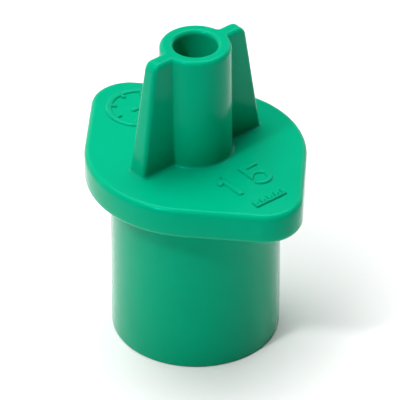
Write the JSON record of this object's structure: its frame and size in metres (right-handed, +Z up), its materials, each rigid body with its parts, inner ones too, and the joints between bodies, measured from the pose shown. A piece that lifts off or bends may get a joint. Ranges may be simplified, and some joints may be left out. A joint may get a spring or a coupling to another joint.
{
  "type": "straight tube connector",
  "caption": "Moulded plastic tube connector: open 15 mm barrel, long finger flange, slender bored socket tube held between two wings.",
  "frame": {"origin": "centre of the barrel's open end, which the part stands on", "axes": "+Z up along the bore, from the barrel to the socket tube; the wings point along +X and -X; the flange is long along Y, with the size number at -Y and the ring at +Y"},
  "size_m": [0.02, 0.026, 0.0302],
  "materials": {
    "green_plastic": "satin-gloss moulded polypropylene",
    "raised_marks": "satin-gloss moulded polypropylene"
  },
  "bodies": {
    "root": {"barrel": "green_plastic", "flange": "green_plastic", "socket_tube": "green_plastic", "wing_right": "green_plastic", "wing_left": "green_plastic", "size_digit_1": "raised_marks", "size_digit_5": "raised_marks", "size_scale": "raised_marks", "mould_ring": "raised_marks", "mould_pointer": "raised_marks"}
  },
  "joints": []
}
